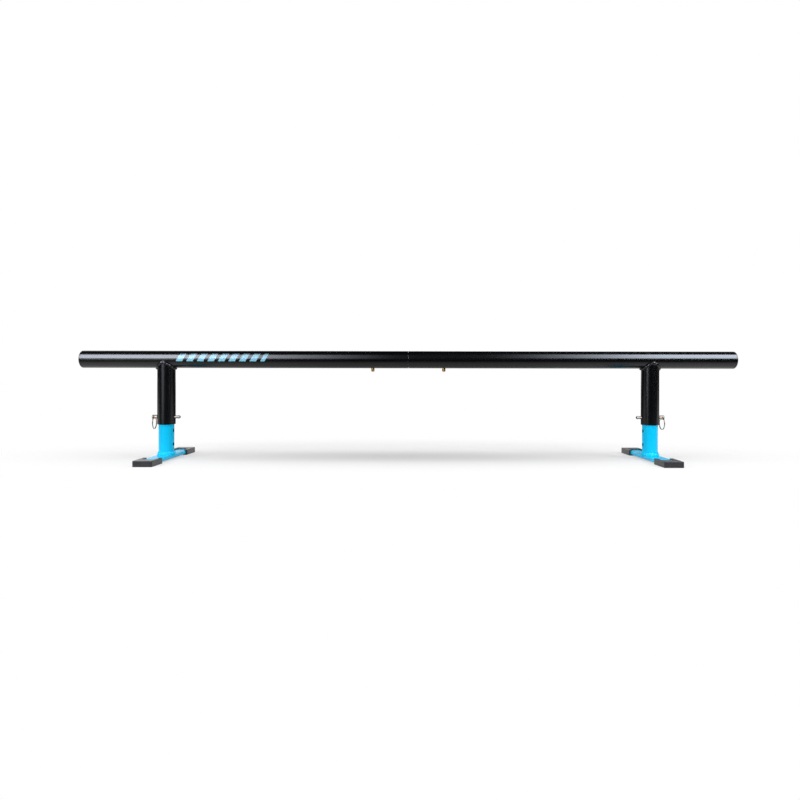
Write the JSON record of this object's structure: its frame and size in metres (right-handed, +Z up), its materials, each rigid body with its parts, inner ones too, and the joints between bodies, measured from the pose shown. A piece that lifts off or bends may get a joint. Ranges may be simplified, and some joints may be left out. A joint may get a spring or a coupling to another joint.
{
  "type": "skateboard grind rail",
  "caption": "Round grind rail in two joined halves on two telescoping leg posts with ring-pull lock pins and rubber-capped flat feet.",
  "frame": {"origin": "on the ground under the middle of the rail", "axes": "+X along the rail, +Y away from the viewer of the picture, +Z up"},
  "size_m": [1.8336, 0.3048, 0.3048],
  "materials": {
    "black_powder_coat": "satin black powder coat",
    "blue_powder_coat": "satin cyan-blue powder coat",
    "foot_rubber": "moulded dark grey rubber, finely grained",
    "nickel_plate": "bright nickel plate",
    "brass": "polished brass",
    "spring_steel": "tempered spring steel",
    "bare_steel": "galvanised tube steel"
  },
  "bodies": {
    "rail_frame": {"joiner_tube": "bare_steel", "rail_tube_left": "black_powder_coat", "rail_end_cap_left": "black_powder_coat", "snap_spring_left": "spring_steel", "leg_sleeve_left": "black_powder_coat", "foot_post_left": "blue_powder_coat", "foot_bar_left": "blue_powder_coat", "foot_cap_left_front": "foot_rubber", "foot_cap_left_rear": "foot_rubber", "rail_tube_right": "black_powder_coat", "rail_end_cap_right": "black_powder_coat", "snap_spring_right": "spring_steel", "leg_sleeve_right": "black_powder_coat", "foot_post_right": "blue_powder_coat", "foot_bar_right": "blue_powder_coat", "foot_cap_right_front": "foot_rubber", "foot_cap_right_rear": "foot_rubber"},
    "lock_pin_left": {"lock_pin_left": "nickel_plate", "detent_spring_left": "spring_steel"},
    "pull_ring_left": {"pull_ring_left": "nickel_plate"},
    "snap_button_left": {"snap_button_left": "brass"},
    "detent_ball_left_upper": {"detent_ball_left_upper": "nickel_plate"},
    "detent_ball_left_lower": {"detent_ball_left_lower": "nickel_plate"},
    "lock_pin_right": {"lock_pin_right": "nickel_plate", "detent_spring_right": "spring_steel"},
    "pull_ring_right": {"pull_ring_right": "nickel_plate"},
    "snap_button_right": {"snap_button_right": "brass"},
    "detent_ball_right_upper": {"detent_ball_right_upper": "nickel_plate"},
    "detent_ball_right_lower": {"detent_ball_right_lower": "nickel_plate"}
  },
  "joints": [
    {"name": "lock_pin_left_pull", "type": "slide", "parent": "rail_frame", "child": "lock_pin_left", "axis": [-1, 0, 0], "range_m": [0, 0.0635]},
    {"name": "pull_ring_left_swing", "type": "hinge", "parent": "lock_pin_left", "child": "pull_ring_left", "pos_m": [-0.71475, 0, 0.1185], "axis": [0, 1, 0], "range_deg": [-16, 190]},
    {"name": "snap_button_left_press", "type": "slide", "parent": "rail_frame", "child": "snap_button_left", "axis": [0, 0, 1], "range_m": [0, 0.0135], "stiffness_N_per_m": 800, "springref_m": -0.005, "deforming": ["snap_spring_left"]},
    {"name": "detent_ball_left_upper_press", "type": "slide", "parent": "lock_pin_left", "child": "detent_ball_left_upper", "axis": [0, 0, -1], "range_m": [0, 0.00075], "stiffness_N_per_m": 1500, "springref_m": -0.0005, "deforming": ["detent_spring_left"]},
    {"name": "detent_ball_left_lower_press", "type": "slide", "parent": "lock_pin_left", "child": "detent_ball_left_lower", "axis": [0, 0, 1], "range_m": [0, 0.00075], "stiffness_N_per_m": 1500, "springref_m": -0.0005, "deforming": ["detent_spring_left"]},
    {"name": "lock_pin_right_pull", "type": "slide", "parent": "rail_frame", "child": "lock_pin_right", "axis": [1, 0, 0], "range_m": [0, 0.0635]},
    {"name": "pull_ring_right_swing", "type": "hinge", "parent": "lock_pin_right", "child": "pull_ring_right", "pos_m": [0.71475, 0, 0.1185], "axis": [0, -1, 0], "range_deg": [-16, 190]},
    {"name": "snap_button_right_press", "type": "slide", "parent": "rail_frame", "child": "snap_button_right", "axis": [0, 0, 1], "range_m": [0, 0.0135], "stiffness_N_per_m": 800, "springref_m": -0.005, "deforming": ["snap_spring_right"]},
    {"name": "detent_ball_right_upper_press", "type": "slide", "parent": "lock_pin_right", "child": "detent_ball_right_upper", "axis": [0, 0, -1], "range_m": [0, 0.00075], "stiffness_N_per_m": 1500, "springref_m": -0.0005, "deforming": ["detent_spring_right"]},
    {"name": "detent_ball_right_lower_press", "type": "slide", "parent": "lock_pin_right", "child": "detent_ball_right_lower", "axis": [0, 0, 1], "range_m": [0, 0.00075], "stiffness_N_per_m": 1500, "springref_m": -0.0005, "deforming": ["detent_spring_right"]}
  ]
}
